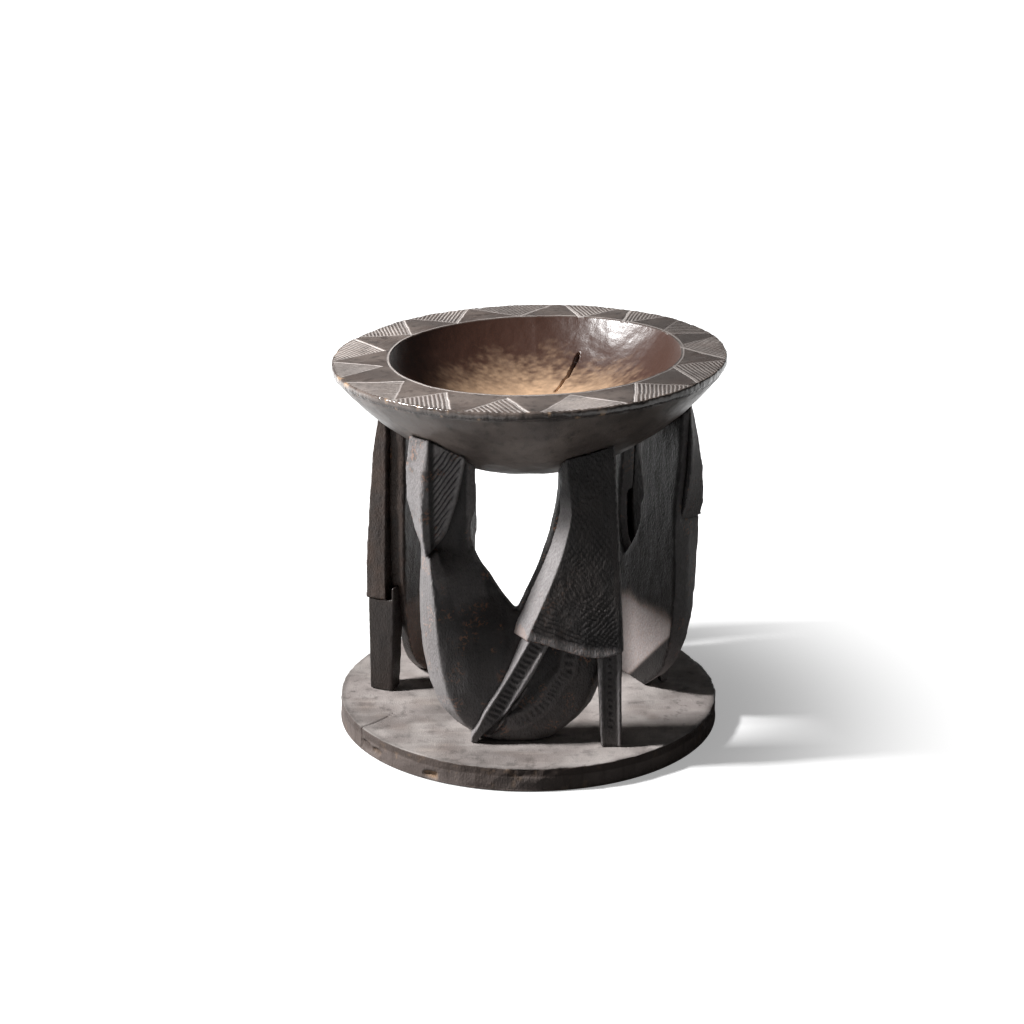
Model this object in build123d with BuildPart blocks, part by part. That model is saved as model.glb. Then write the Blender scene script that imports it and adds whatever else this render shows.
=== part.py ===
from build123d import *
import os
from math import sqrt

os.makedirs("parts", exist_ok=True)

# A wooden bowl on three stylised birds and a round base. Lengths are in millimetres, angles in degrees.
# The origin is at the middle of the underside of the base, +Z is up and -Y is the front.

# Base
base_diameter = 169.0
base_thickness = 11.0
base_edge_radius = 1.2

# Bowl. The stand height runs from the top of the base to the flat underside of the bowl.
stand_height = 113.0
bowl_height = 42.5
rim_diameter = 170.0
rim_edge_height = 3.4
rim_edge_radius = 1.0
rim_tilt = 1.5
underside_diameter = 72.0
underside_bulge = 3.7
mouth_diameter = 125.0
mouth_to_right = 2.8
mouth_to_back = 2.0
hollow_depth = 32.0

# One bird, seen from outside: its breast is on the left, its tail on the right, its inner face is flat.
inner_face = 46.5
bird_depth = 16.8
breast_reach = 46.0
tail_reach = 36.0
neck_depth = 4.2
arm_depth = 7.5

# Window between the neck and the wing
window_foot_height = 57.0
window_foot_side = -5.0
window_neck_side = -22.2
window_wing_side = 12.3
window_neck_flare = 1.5
window_wing_flare = 2.8

# Wing
wing_reach = 40.0
wing_top_reach = 34.0
wing_front_side = -0.6
wing_face_side = 19.5
wing_bevel = 6.5
wing_foot_height = 41.0
wing_hem_rise = 7.9
wing_corner_rise = 3.0
wing_curl = 3.3

# Head
beak_height = 85.0
head_ridge_depth = 16.8
head_cheek_depth = 8.0

# Fore leg, which slants from under the wing to the foot
fore_leg_width = 9.3
fore_leg_depth = 7.4
fore_leg_back = 8.0
fore_leg_slope = 2.6
fore_leg_top_side = 5.4
fore_leg_bend_side = -11.6
fore_leg_bend_height = 15.0
fore_foot_side = -20.8
fore_foot_width = 5.0
fore_foot_depth = 5.0

# Hind leg, upright under the outer corner of the wing
hind_leg_width = 10.4
hind_leg_depth = 9.1
hind_leg_side = 33.9
hind_foot_side = 35.4
hind_foot_width = 8.2
hind_foot_depth = 7.4
wing_lip = 1.2

# The birds face the same way round the base. The left one stands a little off its place in the ring,
# and the right one has a narrower window and a broader wing.
left_bird_to_right = 1.5
left_bird_to_back = 13.0
narrow_window_wing_side = -2.0
broad_wing_face_side = 4.0
birds = [
    ("front", 0.0, (0.0, 0.0), window_wing_side, wing_face_side),
    ("left", -112.0, (left_bird_to_right, left_bird_to_back), window_wing_side, wing_face_side),
    ("right", 120.0, (0.0, 0.0), narrow_window_wing_side, broad_wing_face_side),
]

# The bowl's underside and the tops of the birds are both curved, so they stay this far apart.
seat_gap = 0.3

underside_height = base_thickness + stand_height
rim_height = underside_height + bowl_height
bird_front = inner_face + bird_depth
wing_foot = base_thickness + wing_foot_height
leg_top = wing_foot + wing_hem_rise
beak = base_thickness + beak_height


def level(percent):
    """A height, as percent of the stand height above the base."""
    return base_thickness + percent / 100 * stand_height


def below_beak(percent):
    """A height, as percent of the way from the base to the tip of the beak."""
    return base_thickness + percent / 100 * beak_height


def above_beak(percent):
    """A height, as percent of the way from the tip of the beak to the rim of the bowl."""
    return beak + percent / 100 * (rim_height - beak)


def across(percent):
    """A place across the bird, as percent of its reach toward the breast (minus) or the tail (plus)."""
    return percent / 100 * (breast_reach if percent < 0 else tail_reach)


def outward(percent, depth=bird_depth):
    """A place through the bird, as percent of a depth outward of the inner face."""
    return -(inner_face + percent / 100 * depth)


# The hull of the body, in percent: the height below the beak, the breast edge, the bilge, the ridge of
# the breast, the flank, the belly or the foot of the neck, the tail corner and the tail edge.
hull_stations = [
    (0, -51, (-46, 27), (-37, 50), (-20, 60), (3, 64), (26, 42), 33),
    (9, -72, (-67, 39), (-57, 69), (-35, 71), (0, 67), (50, 43), 61),
    (17, -84, (-79, 45), (-66, 82), (-45, 79), (0, 66), (63, 42), 76),
    (29, -92, (-87, 48), (-75, 90), (-52, 88), (0, 64), (74, 41), 88),
    (44, -97, (-93, 49), (-80, 97), (-57, 93), (-5, 60), (82, 42), 95),
    (60, -100, (-96, 50), (-83, 99), (-63, 92), (-20, 52), (94, 46), 99),
    (76, -100, (-97, 50), (-85, 99), (-69, 80), (-34, 20), (94, 45), 98),
    (89, -99, (-96, 48), (-87, 99), (-76, 68), (-45, 18), (94, 45), 97),
    (100, -98, (-95, 39), (-89, 98), (-84, 36), (-50, 16), (94, 44), 96),
]

# The neck behind the head and the arm behind the wing, in percent: the height above the beak, the outer
# edge of the neck, its edge at the window and the outer edge of the arm.
arm_stations = [
    (0, -98, -50, 96),
    (12, -98, -49, 94),
    (36, -104, -48, 92),
    (70, -107, -47, 89),
    (101, -110, -46, 86),
]

# The head, in percent: the height above the beak, the outer edge, the ridge, how far it stands out,
# the cheek and how far it stands out.
head_stations = [
    (0, -92, -89, 100, -85, 85),
    (14, -98, -90, 94, -74, 95),
    (32, -103, -90, 86, -65, 100),
    (51, -105, -89, 75, -59, 90),
    (96, -110, -89, 42, -46, 65),
]

# The fore leg: the height, the middle of the leg, its width and depth, and the slope of its left side.
fore_leg_stations = [
    (base_thickness, fore_foot_side, fore_foot_width, fore_foot_depth, 0),
    (
        base_thickness + fore_leg_bend_height,
        fore_leg_bend_side,
        fore_leg_width,
        fore_leg_depth,
        fore_leg_slope,
    ),
    (leg_top, fore_leg_top_side, fore_leg_width, fore_leg_depth, fore_leg_slope),
]
with BuildPart(mode=Mode.PRIVATE) as fore_leg:
    back = -(inner_face + fore_leg_back)
    for height, side, width, depth, slope in fore_leg_stations:
        with BuildSketch(Plane.XY.offset(height)):
            Polygon(
                (side - width / 2 - slope, back),
                (side + width / 2, back),
                (side + width / 2, back - depth),
                (side - width / 2, back - depth),
                align=None,
            )
    loft(ruled=True)

# The hind leg, with its outer face a lip's width behind the face of the wing.
with BuildPart(mode=Mode.PRIVATE) as hind_leg:
    for height, side, width, depth in [
        (base_thickness, hind_foot_side, hind_foot_width, hind_foot_depth),
        (leg_top, hind_leg_side, hind_leg_width, hind_leg_depth),
    ]:
        with BuildSketch(Plane.XY.offset(height)):
            with Locations((side, wing_lip - bird_front)):
                Rectangle(width, depth, align=(Align.CENTER, Align.MIN))
    loft(ruled=True)


def make_window(side):
    """The window, whose walls flare from the inner face to the outer one. It runs past both."""
    with BuildPart(mode=Mode.PRIVATE) as window:
        for percent in (-40, 140):
            flare = percent / 100
            neck_side = window_neck_side - flare * window_neck_flare
            wing_side = side + flare * window_wing_flare
            foot = (window_foot_side + flare, base_thickness + window_foot_height + flare)
            neck_top = (neck_side, level(90))
            wing_top = (wing_side, level(106))
            with BuildSketch(Plane.XZ.offset(-outward(percent))):
                with BuildLine():
                    Spline(foot, (0.62 * neck_side, level(61)), (0.97 * neck_side, level(77)), neck_top)
                    Polyline(neck_top, (neck_side, rim_height), (wing_side, rim_height), wing_top)
                    Spline(wing_top, (0.7 * wing_side, level(82)), (0.22 * wing_side, level(66)), foot)
                make_face()
        loft(ruled=True)
    return window.part


def make_wing(window, face_side):
    """The wing, a slab in front of the arm. Its left side slopes back and its face curls in at the top."""
    face_run = face_side - wing_front_side
    with BuildPart(mode=Mode.PRIVATE) as wing:
        for depth, side in ((arm_depth, wing_front_side - wing_bevel), (bird_depth, wing_front_side)):
            hem_left = (side, wing_foot + wing_hem_rise)
            hem_right = (wing_reach, wing_foot + wing_corner_rise)
            face_top = (side + face_run, level(92))
            with BuildSketch(Plane.XZ.offset(inner_face + depth)):
                with BuildLine():
                    Spline(
                        hem_left,
                        (0.45 * wing_reach, wing_foot + 0.25 * wing_hem_rise),
                        (0.75 * wing_reach, wing_foot),
                        hem_right,
                    )
                    Polyline(
                        hem_right,
                        (wing_top_reach, rim_height),
                        (side + face_run, rim_height),
                        face_top,
                    )
                    Spline(
                        face_top,
                        (side + 0.72 * face_run, level(74)),
                        (side + 0.4 * face_run, level(60)),
                        hem_left,
                    )
                make_face()
        loft(ruled=True)
        with BuildSketch(Plane.YZ):
            with BuildLine():
                ThreePointArc(
                    (-bird_front, wing_foot),
                    (wing_curl / 4 - bird_front, (wing_foot + underside_height) / 2),
                    (wing_curl - bird_front, underside_height),
                )
                Polyline(
                    (wing_curl - bird_front, underside_height),
                    (3 * wing_curl - bird_front, rim_height),
                    (-inner_face, rim_height),
                    (-inner_face, base_thickness),
                    (-bird_front, base_thickness),
                    (-bird_front, wing_foot),
                )
            make_face()
        extrude(amount=2 * wing_reach, both=True, mode=Mode.INTERSECT)
        add(window, mode=Mode.SUBTRACT)
    return wing.part


# The head, a wedge with a ridge down its front, which ends in the beak on the breast.
with BuildPart(mode=Mode.PRIVATE) as head:
    for percent, edge, ridge, ridge_out, cheek, cheek_out in head_stations:
        with BuildSketch(Plane.XY.offset(above_beak(percent))):
            Polygon(
                (across(edge), outward(100, neck_depth)),
                (across(cheek), outward(100, neck_depth)),
                (across(cheek), outward(cheek_out, head_cheek_depth)),
                (across(ridge), outward(ridge_out, head_ridge_depth)),
                align=None,
            )
    loft(ruled=True)


def make_body(window, wing):
    """The body: belly and breast in one hull, then the neck and the arm above it."""
    with BuildPart(mode=Mode.PRIVATE) as body:
        for percent, breast, *points, tail in hull_stations:
            with BuildSketch(Plane.XY.offset(below_beak(percent))):
                Polygon(
                    (across(breast), outward(0)),
                    *[(across(side), outward(out)) for side, out in points],
                    (across(tail), outward(0)),
                    align=None,
                )
        loft(ruled=True)
        for percent, edge, neck, tail in arm_stations:
            with BuildSketch(Plane.XY.offset(above_beak(percent))):
                Polygon(
                    (across(edge), outward(0)),
                    (across(edge), outward(100, neck_depth)),
                    (across(neck) - neck_depth, outward(100, neck_depth)),
                    (across(neck), outward(10, neck_depth)),
                    (0, outward(100, arm_depth)),
                    (across(tail), outward(100, arm_depth)),
                    (across(tail), outward(0)),
                    align=None,
                )
        loft(ruled=True)
        for cutter in (window, wing, fore_leg.part, hind_leg.part):
            add(cutter, mode=Mode.SUBTRACT)
    return body.part


# The outside of the bowl, with its rim at height 0.
cone_run = (rim_diameter - underside_diameter) / 2
cone_rise = bowl_height - rim_edge_height
cone_length = sqrt(cone_run**2 + cone_rise**2)
cone_foot = (underside_diameter / 2, -bowl_height)
cone_top = (rim_diameter / 2, -rim_edge_height)
cone_middle = (
    (cone_foot[0] + cone_top[0]) / 2 + underside_bulge * cone_rise / cone_length,
    (cone_foot[1] + cone_top[1]) / 2 - underside_bulge * cone_run / cone_length,
)
with BuildPart(mode=Mode.PRIVATE) as outside:
    with BuildSketch(Plane.XZ):
        with BuildLine():
            Line((0, -bowl_height), cone_foot)
            ThreePointArc(cone_foot, cone_middle, cone_top)
            Polyline(cone_top, (rim_diameter / 2, 0), (0, 0), (0, -bowl_height))
        make_face()
    revolve(axis=Axis.Z)

# The same shape, filled up past the rim, trims the tops of the birds.
with BuildPart(mode=Mode.PRIVATE) as trim:
    add(outside.part)
    with Locations((0, 0, -rim_edge_height / 2)):
        Cylinder(rim_diameter, bowl_height, align=(Align.CENTER, Align.CENTER, Align.MIN))
trim_drop = seat_gap * cone_length / cone_run
trim_solid = trim.part.moved(Location((0, 0, rim_height - trim_drop), (0, -rim_tilt, 0)))

with BuildPart() as base_disc:
    Cylinder(base_diameter / 2, base_thickness, align=(Align.CENTER, Align.CENTER, Align.MIN))
    fillet(base_disc.edges().filter_by(GeomType.CIRCLE), base_edge_radius)
base_disc.part.label = "base_disc"
export_step(base_disc.part, "parts/base_disc.step")

# The bowl, with its round hollow a little off the middle of the rim.
hollow_radius = ((mouth_diameter / 2) ** 2 + hollow_depth**2) / (2 * hollow_depth)
with BuildPart() as bowl:
    add(outside.part)
    circles = bowl.edges().filter_by(GeomType.CIRCLE)
    fillet(circles.filter_by(lambda edge: abs(edge.radius - rim_diameter / 2) < 0.001), rim_edge_radius)
    with Locations((mouth_to_right, mouth_to_back, hollow_radius - hollow_depth)):
        Sphere(hollow_radius, mode=Mode.SUBTRACT)
bowl.part.label = "bowl"
bowl.part.locate(Location((0, 0, rim_height), (0, -rim_tilt, 0)))
export_step(bowl.part, "parts/bowl.step")

# The birds. Each piece is turned to its place and trimmed under the bowl, the legs under the wing.
for bird, angle, (to_right, to_back), window_side, face_side in birds:
    place = Location((to_right, to_back, 0), (0, 0, angle))
    window = make_window(window_side)
    wing = make_wing(window, face_side)
    body = make_body(window, wing)
    pieces = {
        "body": body,
        "head": head.part,
        "wing": wing,
        "fore_leg": fore_leg.part,
        "hind_leg": hind_leg.part,
    }
    for name, shape in pieces.items():
        with BuildPart() as piece:
            add(shape.moved(place))
            add(trim_solid, mode=Mode.SUBTRACT)
            if name in ("fore_leg", "hind_leg"):
                add(wing.moved(place), mode=Mode.SUBTRACT)
        piece.part.label = f"{bird}_{name}"
        export_step(piece.part, f"parts/{bird}_{name}.step")
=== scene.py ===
"""A carved wooden bowl on three stylised birds, dressed around the frame of its solids.

Sizes are in millimetres and angles in degrees; only finished meshes are in metres. An angle round the
upright axis counts from the front, which is -Y, and grows toward the right, which is +X.
"""

import math
from itertools import product

import bpy
import numpy as np
from mathutils import Euler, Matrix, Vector


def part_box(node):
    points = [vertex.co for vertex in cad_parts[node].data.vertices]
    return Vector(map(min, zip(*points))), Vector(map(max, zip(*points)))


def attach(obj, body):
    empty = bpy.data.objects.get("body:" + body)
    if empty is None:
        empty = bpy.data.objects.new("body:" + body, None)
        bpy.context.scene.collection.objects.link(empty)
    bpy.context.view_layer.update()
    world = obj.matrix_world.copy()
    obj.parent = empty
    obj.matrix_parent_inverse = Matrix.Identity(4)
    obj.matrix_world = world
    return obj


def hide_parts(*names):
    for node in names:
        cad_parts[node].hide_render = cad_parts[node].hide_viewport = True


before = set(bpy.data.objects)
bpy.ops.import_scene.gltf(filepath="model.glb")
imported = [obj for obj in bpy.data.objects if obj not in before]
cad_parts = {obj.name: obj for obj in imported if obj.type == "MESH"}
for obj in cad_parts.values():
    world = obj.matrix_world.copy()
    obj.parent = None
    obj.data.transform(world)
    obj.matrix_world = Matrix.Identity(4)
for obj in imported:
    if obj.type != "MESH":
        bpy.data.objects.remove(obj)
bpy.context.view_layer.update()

MM = 0.001


# Sizes read from the frame


def node_box(node):
    """The lowest and highest corner of a solid."""
    low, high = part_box(node)
    return np.array(low) / MM, np.array(high) / MM


base_low, base_high = node_box("base_disc")
base_radius = (base_high[0] - base_low[0]) / 2
base_top = base_high[2]
beak_height = node_box("front_head")[0][2]

# Bowl. Its own frame has the rim at height 0, and the mouth is a little off the middle of the rim.
rim_tilt = 1.5
rim_radius = 85.0
rim_edge = 3.4
rim_edge_round = 1.0
bowl_height = 42.5
rim_height = 166.5
underside_radius = 36.0
underside_bulge = 3.7
mouth_centre = np.array([2.8, 2.0])
mouth_radius = 62.5
hollow_depth = 32.0

# Birds: name, angle from the front, and how far it stands to the right and back of its place in the ring
birds = (
    ("front", 0.0, (0.0, 0.0)),
    ("left", -112.0, (1.5, 13.0)),
    ("right", 120.0, (0.0, 0.0)),
)

# How far apart the points of a ring may lie where a turned form is plain and where it is carved
plain_spacing = 0.7
top_spacing = 0.4
hollow_spacing = 0.27


# Noise and carving, worked out on arrays of points. The whole number after a cell's size is a seed.

LATTICE = 32


def smooth_noise(points, cell, seed):
    """Smooth noise from -1 to 1 with blobs about a cell across. A cell may differ along x, y and z."""
    table = np.random.default_rng(seed).uniform(-1, 1, (LATTICE,) * 3)
    scaled = points / cell
    corner = np.floor(scaled).astype(int)
    part = scaled - corner
    part = part * part * (3 - 2 * part)
    total = np.zeros(len(points))
    for step in product((0, 1), repeat=3):
        x, y, z = ((corner + step) % LATTICE).T
        weight = np.prod(np.where(np.array(step) == 1, part, 1 - part), axis=1)
        total += weight * table[x, y, z]
    return total


def rough_noise(points, cell, seed, octaves=3):
    """Noise with finer detail in it, from about -1 to 1."""
    cell = np.asarray(cell, float)
    layers = [smooth_noise(points, cell / 2**k, seed + k) / 2**k for k in range(octaves)]
    return sum(layers) / 1.5


def scoops(points, cell, seed):
    """The marks of a blade: 0 in the middle of a mark, rising to a crest of about 1 between marks."""
    jitter = np.random.default_rng(seed).uniform(0, 1, (LATTICE,) * 3 + (3,))
    scaled = points / np.asarray(cell, float)
    corner = np.floor(scaled).astype(int)
    nearest = np.full(len(points), 9.0)
    for step in product((-1, 0, 1), repeat=3):
        place = corner + step
        x, y, z = (place % LATTICE).T
        centre = place + jitter[x, y, z]
        nearest = np.minimum(nearest, ((scaled - centre) ** 2).sum(axis=1))
    return np.minimum(nearest, 1.0)


def ramp(value, start, end):
    """A smooth step from 0 at start to 1 at end."""
    share = np.clip((value - start) / (end - start), 0, 1)
    return share * share * (3 - 2 * share)


def groove(distance, width):
    """The depth of a cut with a rounded bottom, 1 along its middle and 0 outside its width."""
    return np.clip(1 - (2 * distance / width) ** 2, 0, 1)


def comb(distance, pitch, width):
    """Parallel cuts, a pitch apart."""
    return groove((distance / pitch + 0.5) % 1 * pitch - pitch / 2, width)


def line_distance(x, y, start, end):
    """The distance from a line through two points, and the share of the way along it."""
    start, end = np.asarray(start, float), np.asarray(end, float)
    along = end - start
    length = np.hypot(*along)
    dx, dy = x - start[0], y - start[1]
    return (dx * -along[1] + dy * along[0]) / length, (dx * along[0] + dy * along[1]) / length**2


def path_distance(x, y, path):
    """The distance to the nearest point of a path, and the share of the path's points passed there."""
    best = np.full(len(x), 1e9)
    passed = np.zeros(len(x))
    for k, (start, end) in enumerate(zip(path, path[1:])):
        start, end = np.array(start, float), np.array(end, float)
        along = end - start
        share = np.clip(((x - start[0]) * along[0] + (y - start[1]) * along[1]) / (along @ along), 0, 1)
        gap = np.hypot(x - start[0] - share * along[0], y - start[1] - share * along[1])
        nearer = gap < best
        best[nearer] = gap[nearer]
        passed[nearer] = (k + share[nearer]) / (len(path) - 1)
    return best, passed


# Meshes


def add_mesh(name, points, faces, marks, material, nodes):
    """Makes a piece from points in millimetres. Marks are values per point that its material reads."""
    mesh = bpy.data.meshes.new(name)
    mesh.from_pydata((points * MM).tolist(), [], faces)
    mesh.validate()
    mesh.shade_smooth()
    for mark, values in marks.items():
        layer = mesh.attributes.new(mark, "FLOAT", "POINT")
        layer.data.foreach_set("value", np.clip(values, 0, 1).astype(np.float32))
    mesh.materials.append(material)
    piece = bpy.data.objects.new(name, mesh)
    bpy.context.scene.collection.objects.link(piece)
    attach(piece, "root")
    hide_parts(*nodes)
    return piece


def point_normals(points, faces):
    """Unit normals at the points of a closed mesh."""
    mesh = bpy.data.meshes.new("normals")
    mesh.from_pydata(points.tolist(), [], faces)
    normals = np.empty(len(points) * 3)
    mesh.vertex_normals.foreach_get("vector", normals)
    bpy.data.meshes.remove(mesh)
    return normals.reshape(-1, 3)


def ring_faces(counts):
    """Faces between rings of points, closed at both ends by a point. A ring may have as many points as
    the one before, half as many or twice as many."""
    faces = []
    first = 1
    count = counts[0]
    faces += [(0, 1 + (k + 1) % count, 1 + k) for k in range(count)]
    for ring, following in zip(counts, counts[1:]):
        second = first + ring
        if ring == following:
            for k in range(ring):
                m = (k + 1) % ring
                faces.append((first + k, first + m, second + m, second + k))
        else:
            fine, coarse, n = (first, second, following) if ring > following else (second, first, ring)
            turned = ring < following
            for k in range(n):
                a, b, c = fine + 2 * k, fine + 2 * k + 1, fine + (2 * k + 2) % (2 * n)
                p, q = coarse + k, coarse + (k + 1) % n
                for face in ((a, b, p), (b, q, p), (b, c, q)):
                    faces.append(face[::-1] if turned else face)
        first = second
    last = first + counts[-1]
    faces += [(first + k, first + (k + 1) % counts[-1], last) for k in range(counts[-1])]
    return faces


def ring_count(radius, finest, most):
    """How many points a ring needs: most, halved while the points would lie closer than the finest."""
    count = most
    while count > 12 and 2 * math.pi * radius / count < finest:
        count //= 2
    return count


def lathe(rings):
    """Points and faces of a closed turned form. Each ring is a count and a function from an array of
    angles to points; the first and last items are single points."""
    counts = [count for count, _ in rings[1:-1]]
    points = [np.array([rings[0]])]
    for count, place in rings[1:-1]:
        points.append(place(np.linspace(0, 360, count, endpoint=False)))
    points.append(np.array([rings[-1]]))
    return np.concatenate(points), ring_faces(counts)


def polar(radius, angle, height):
    """Points at an angle from the front."""
    turn = np.radians(angle)
    return np.stack([radius * np.sin(turn), -radius * np.cos(turn), height + 0 * turn], axis=1)


# Materials


class NodeTree:
    """Adds nodes to the tree of a material or of the world, and links them."""

    def __init__(self, tree):
        self.nodes, self.links = tree.nodes, tree.links

    def add(self, kind, **settings):
        """A new node."""
        made = self.nodes.new(kind)
        for key, value in settings.items():
            setattr(made, key, value)
        return made

    def fill(self, socket, value):
        """Sets a socket to a number or a colour, or links another socket to it."""
        if isinstance(value, (int, float)):
            socket.default_value = value
        elif isinstance(value, tuple):
            socket.default_value = (*value, 1)
        else:
            self.links.new(value, socket)

    def math(self, operation, first, second):
        """The result of an operation on two sockets or numbers."""
        made = self.add("ShaderNodeMath", operation=operation)
        self.fill(made.inputs[0], first)
        self.fill(made.inputs[1], second)
        return made.outputs["Value"]

    def step(self, value, start, end, low=0.0, high=1.0):
        """A smooth step of a value, from low at start to high at end."""
        made = self.add("ShaderNodeMapRange", interpolation_type="SMOOTHSTEP")
        for label, number in (("From Min", start), ("From Max", end), ("To Min", low), ("To Max", high)):
            made.inputs[label].default_value = number
        self.links.new(value, made.inputs["Value"])
        return made.outputs["Result"]


# How much the roughness of wood varies, what polish takes off it, what dust and painted light add, and how
# deep pores are
gloss_range = 0.28
polish_gain = 0.2
dust_dulling = 0.3
pore_depth = 0.6
# The share of the dark colour that is left in the grain's pores, in grime and in painted shade
shaded_share = 0.45


def wood(name, dark, brown, stained, worn, dust_and_light_colour, gloss, mirror, relief):
    """Dark patinated wood with long grain, whose colours are laid on by the marks of the mesh.

    The marks are dirt with painted shade, stain, bare wood, reddish-brown flecks, wear in specks, pale
    dusting with painted light, and polish; bare wood and the flecks also carry painted light in places. Gloss
    is the least roughness, mirror the strength of the reflection and relief that of the pores.
    """
    material = bpy.data.materials.new(name)
    material.use_nodes = True
    material.node_tree.nodes.clear()
    tree = NodeTree(material.node_tree)
    place = tree.add("ShaderNodeTexCoord")

    def noise(scale, detail, stretch):
        mapping = tree.add("ShaderNodeMapping")
        mapping.inputs["Scale"].default_value = stretch
        tree.links.new(place.outputs["Object"], mapping.inputs["Vector"])
        texture = tree.add("ShaderNodeTexNoise")
        texture.inputs["Scale"].default_value = scale
        texture.inputs["Detail"].default_value = detail
        tree.links.new(mapping.outputs["Vector"], texture.inputs["Vector"])
        return texture.outputs["Fac"]

    def blend(share, first, second):
        made = tree.add("ShaderNodeMix", data_type="RGBA")
        tree.links.new(share, made.inputs["Factor"])
        for key, value in (("A", first), ("B", second)):
            tree.fill(next(s for s in made.inputs if s.name == key and s.type == "RGBA"), value)
        return next(s for s in made.outputs if s.type == "RGBA")

    def mark(label):
        return tree.add("ShaderNodeAttribute", attribute_name=label).outputs["Fac"]

    grain = noise(scale=260, detail=6, stretch=(1, 1, 0.16))
    blotches = noise(scale=38, detail=4, stretch=(1, 1, 0.6))
    specks = noise(scale=420, detail=3, stretch=(1, 1, 1))
    flecks = noise(scale=800, detail=6, stretch=(1, 1, 1))
    fine = noise(scale=1500, detail=5, stretch=(1, 1, 0.5))

    colour = blend(tree.step(blotches, 0.35, 0.7), dark, brown)
    shaded = tuple(shaded_share * value for value in dark)
    colour = blend(tree.math("MULTIPLY", tree.step(grain, 0.5, 0.72), 0.75), colour, shaded)
    colour = blend(tree.math("MULTIPLY", mark("grime"), 0.85), colour, shaded)
    colour = blend(mark("stain"), colour, stained)
    colour = blend(mark("bare"), colour, worn)
    colour = blend(tree.math("MULTIPLY", mark("rust"), tree.step(flecks, 0.5, 0.62)), colour, worn)
    speckle = tree.math("MULTIPLY", tree.math("SUBTRACT", specks, 0.5), 1.1)
    wear = tree.math("ADD", mark("wear"), speckle)
    colour = blend(tree.step(wear, 0.45, 0.75), colour, worn)
    dust_and_light_cover = tree.math("ADD", 0.7, tree.math("MULTIPLY", tree.step(fine, 0.3, 0.7), 0.3))
    colour = blend(tree.math("MULTIPLY", mark("dust"), dust_and_light_cover), colour, dust_and_light_colour)

    shader = tree.add("ShaderNodeBsdfPrincipled")
    shader.inputs["Specular IOR Level"].default_value = mirror
    tree.links.new(colour, shader.inputs["Base Color"])
    rough = tree.add("ShaderNodeMapRange")
    rough.inputs["To Min"].default_value = gloss
    rough.inputs["To Max"].default_value = gloss + gloss_range
    uneven = tree.math("ADD", tree.math("MULTIPLY", fine, 0.7), tree.math("MULTIPLY", blotches, 0.3))
    tree.links.new(uneven, rough.inputs["Value"])
    polished = tree.math("MULTIPLY", mark("polish"), polish_gain)
    rubbed = tree.math("SUBTRACT", rough.outputs["Result"], polished)
    dulled = tree.math("MULTIPLY", mark("dust"), dust_dulling)
    tree.links.new(tree.math("ADD", rubbed, dulled), shader.inputs["Roughness"])
    bump = tree.add("ShaderNodeBump")
    bump.inputs["Strength"].default_value = relief
    bump.inputs["Distance"].default_value = pore_depth * MM
    tree.links.new(tree.math("ADD", fine, tree.math("MULTIPLY", grain, 0.8)), bump.inputs["Height"])
    tree.links.new(bump.outputs["Normal"], shader.inputs["Normal"])
    output = tree.add("ShaderNodeOutputMaterial")
    tree.links.new(shader.outputs["BSDF"], output.inputs["Surface"])
    return material


bird_wood = wood(
    "bird wood",
    dark=(0.033, 0.031, 0.031),
    brown=(0.055, 0.046, 0.042),
    stained=(0.072, 0.045, 0.033),
    worn=(0.36, 0.17, 0.09),
    dust_and_light_colour=(0.40, 0.375, 0.375),
    gloss=0.28,
    mirror=0.42,
    relief=0.9,
)
rim_wood = wood(
    "bowl wood",
    dark=(0.115, 0.092, 0.082),
    brown=(0.23, 0.185, 0.162),
    stained=(0.070, 0.032, 0.022),
    worn=(0.80, 0.53, 0.33),
    dust_and_light_colour=(0.86, 0.79, 0.75),
    gloss=0.22,
    mirror=1.0,
    relief=0.15,
)
base_wood = wood(
    "base wood",
    dark=(0.19, 0.165, 0.155),
    brown=(0.36, 0.315, 0.30),
    stained=(0.12, 0.075, 0.055),
    worn=(0.52, 0.34, 0.21),
    dust_and_light_colour=(0.66, 0.61, 0.58),
    gloss=0.38,
    mirror=0.2,
    relief=0.5,
)


# Bowl. The hatched triangles round its rim: the outer corner on the left, the corner at the mouth, the
# outer corner on the right, the side that the hatching follows, and the pitch of the hatching.
triangles = (
    (172.5, 184, 199, "left", 1.7),
    (-160.5, -149.5, -139.5, "left", 1.7),
    (-137.5, -125, -114, "left", 1.6),
    (-113, -100.5, -88, "left", 1.6),
    (-87.5, -78, -70, "left", 1.6),
    (-65, -55, -40.5, "left", 1.7),
    (-42, -32, -22, "right", 1.8),
    (-18, -8, 0, "right", 2.0),
    (3, 15.5, 28, "right", 1.4),
    (30, 43, 52, "left", 1.7),
    (55, 70, 79.5, "left", 1.7),
    (80.5, 97, 105, "left", 1.7),
    (109, 117, 127.5, "left", 2.6),
    (132.5, 140, 147, "right", 1.6),
    (150.5, 159, 169, "right", 1.7),
)
triangle_foot = 63.8
triangle_top = 84.6
triangle_reach = 32
# Cuts have a width and a depth. The side of a triangle that its hatching doesn't follow is shallower.
side_cut = (1.1, 0.55)
hatch_cut = (0.95, 0.38)
weak_side = 0.6
mouth_ring = (1.2, 0.35)
mouth_ring_middle = 0.7

# The mouth isn't quite round: its radius at some angles round its own centre
mouth_outline = (
    (-180, 60.9), (-115, 63.7), (-90, 62.8), (-45, 63.3), (0, 62.2),
    (50, 62.2), (90, 62.6), (120, 64.3), (170, 61.6), (180, 60.9),
)
# Nor is the rim, which has a worn flat at the back left
rim_outline = (
    (-180, 84.6), (-136, 84.6), (-131, 83.4), (-114, 83.3), (-112, 84.7), (-90, 84.8),
    (-40, 84.6), (20, 84.8), (90, 84.8), (150, 84.5), (180, 84.6),
)


def round_outline(outline, angle):
    """A radius between those given, at any angle."""
    angles, radii = zip(*outline)
    return np.interp((np.asarray(angle) + 180) % 360 - 180, angles, radii)


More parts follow.
